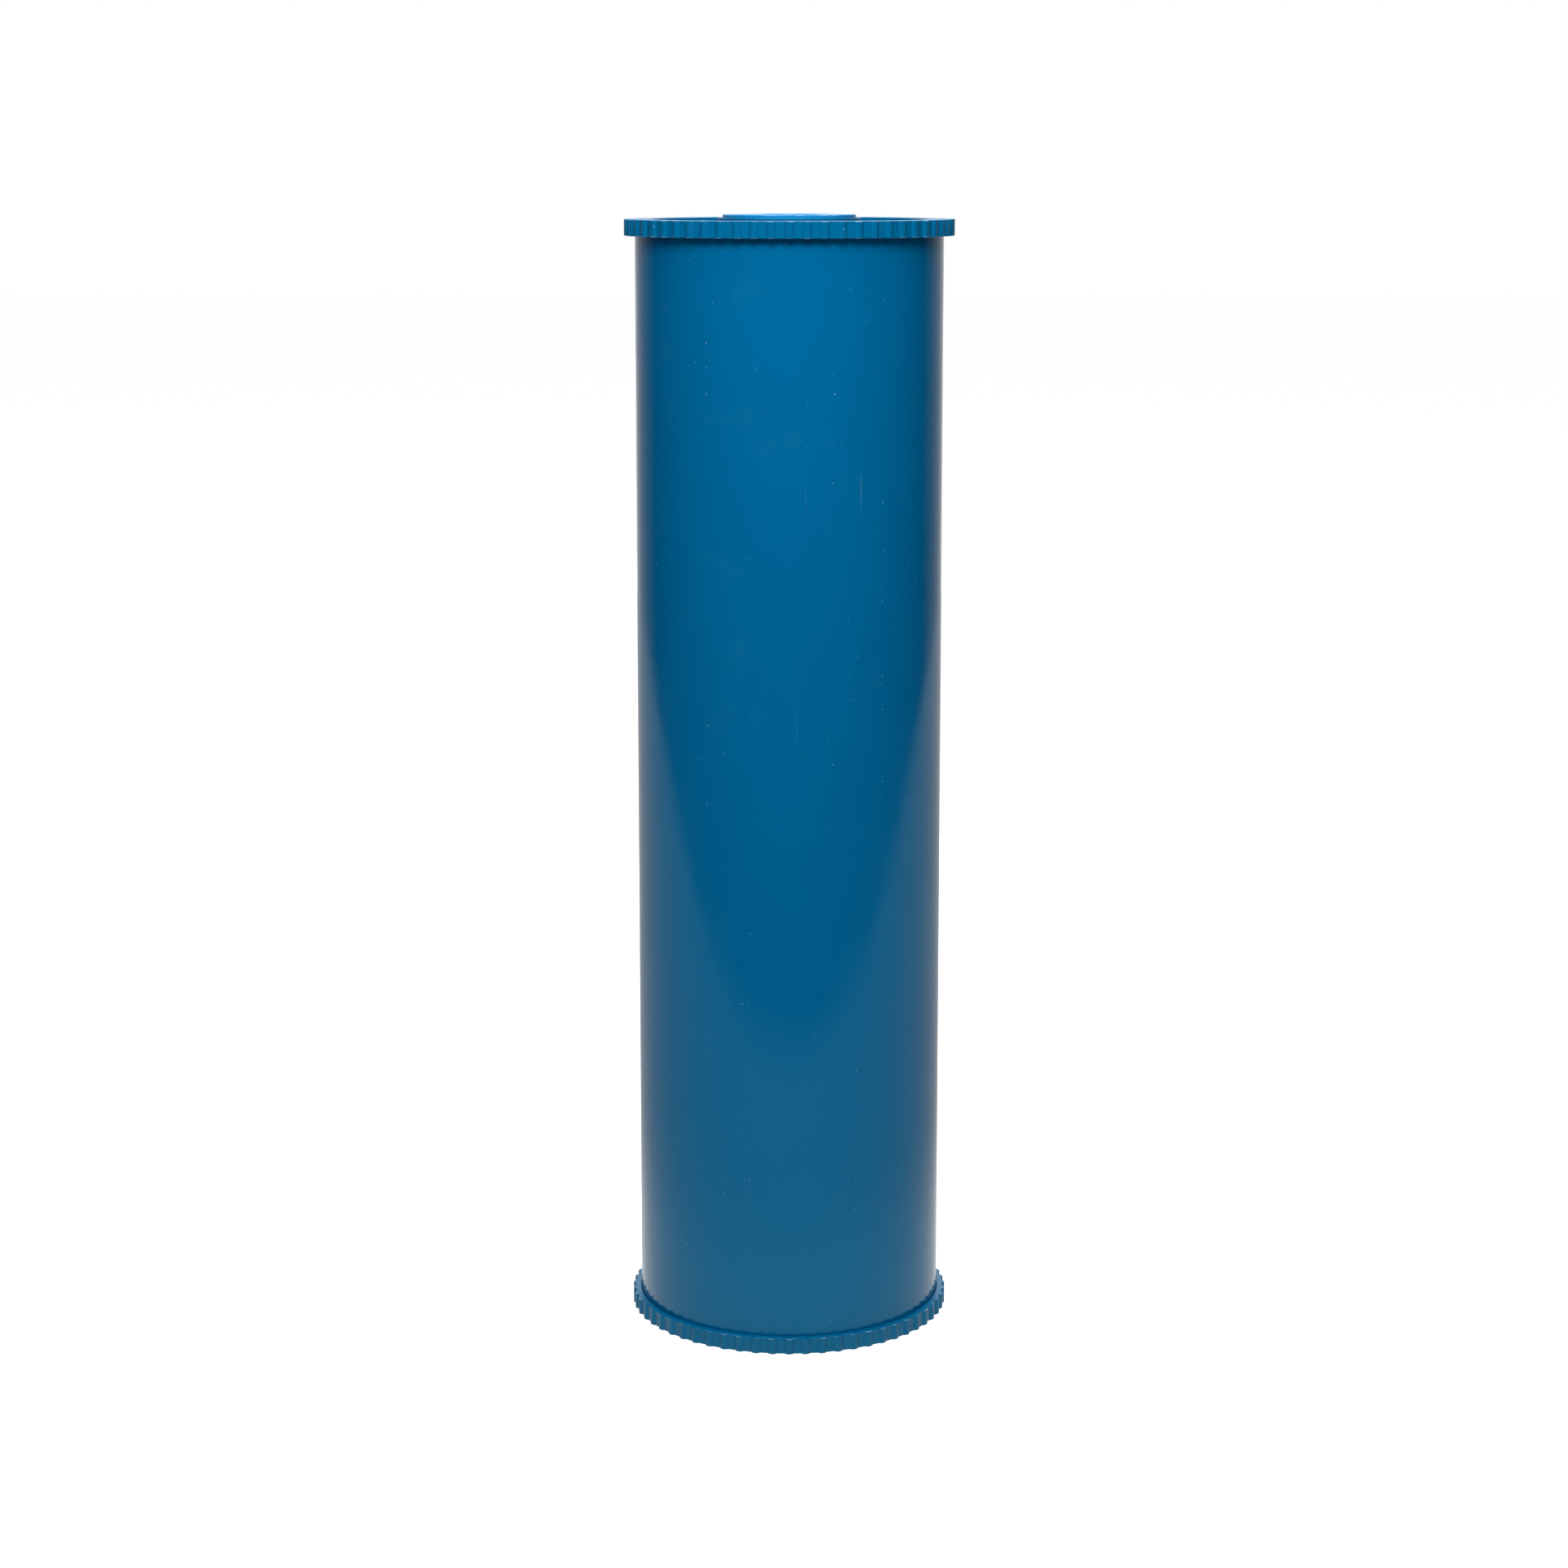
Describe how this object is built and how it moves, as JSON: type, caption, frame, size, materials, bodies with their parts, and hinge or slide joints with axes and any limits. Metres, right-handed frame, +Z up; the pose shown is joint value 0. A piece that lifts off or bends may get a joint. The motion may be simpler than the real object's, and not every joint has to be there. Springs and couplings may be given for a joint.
{
  "type": "drop-in water filter cartridge",
  "caption": "Blue plastic tube closed by two screw caps with fluted grip rims; slotted inlet below, gasketed outlet hub above, granular carbon bed between felt pads inside.",
  "frame": {"origin": "centre of the bottom cap's rim face, where the standing cartridge touches the floor", "axes": "+Z up the tube's axis from the slotted inlet cap to the outlet hub; the part is round, and +X runs through the middle of one grip tooth of each cap"},
  "size_m": [0.073, 0.073, 0.2508],
  "materials": {
    "tube_plastic": "satin",
    "cap_plastic": "satin",
    "gasket_rubber": "satin",
    "seal_rubber": "matte",
    "screen_plastic": "satin",
    "mesh_cloth": "matte",
    "felt": "matte",
    "foam": "matte",
    "carbon": "matte"
  },
  "bodies": {
    "shell": {"shell_tube": "tube_plastic", "carbon_bed": "carbon", "expansion_pad": "foam"},
    "top_seal": {"top_shell_seal": "seal_rubber"},
    "top_cap": {"top_cap": "cap_plastic", "outlet_gasket": "gasket_rubber", "outlet_screen": "screen_plastic", "outlet_mesh": "mesh_cloth", "post_filter_pad": "felt", "outlet_retainer": "screen_plastic"},
    "bottom_seal": {"bottom_shell_seal": "seal_rubber"},
    "bottom_cap": {"bottom_cap": "cap_plastic", "inlet_screen": "screen_plastic", "inlet_mesh": "mesh_cloth", "inlet_filter_pad": "felt", "inlet_retainer": "screen_plastic"}
  },
  "joints": [
    {"name": "top_cap_travel", "type": "slide", "parent": "shell", "child": "top_seal", "axis": [0, 0, 1], "range_m": [0, 0.0091]},
    {"name": "top_cap_turn", "type": "hinge", "parent": "top_seal", "child": "top_cap", "pos_m": [0, 0, 0.2498], "axis": [0, 0, 1], "range_deg": [0, 810]},
    {"name": "bottom_cap_travel", "type": "slide", "parent": "shell", "child": "bottom_seal", "axis": [0, 0, -1], "range_m": [0, 0.0091]},
    {"name": "bottom_cap_turn", "type": "hinge", "parent": "bottom_seal", "child": "bottom_cap", "pos_m": [0, 0, 0], "axis": [0, 0, -1], "range_deg": [0, 810]}
  ],
  "couplings": [
    {"joint": "top_cap_travel", "follows": "top_cap_turn", "m_per_rad": 0.00063662},
    {"joint": "bottom_cap_travel", "follows": "bottom_cap_turn", "m_per_rad": 0.00063662}
  ]
}
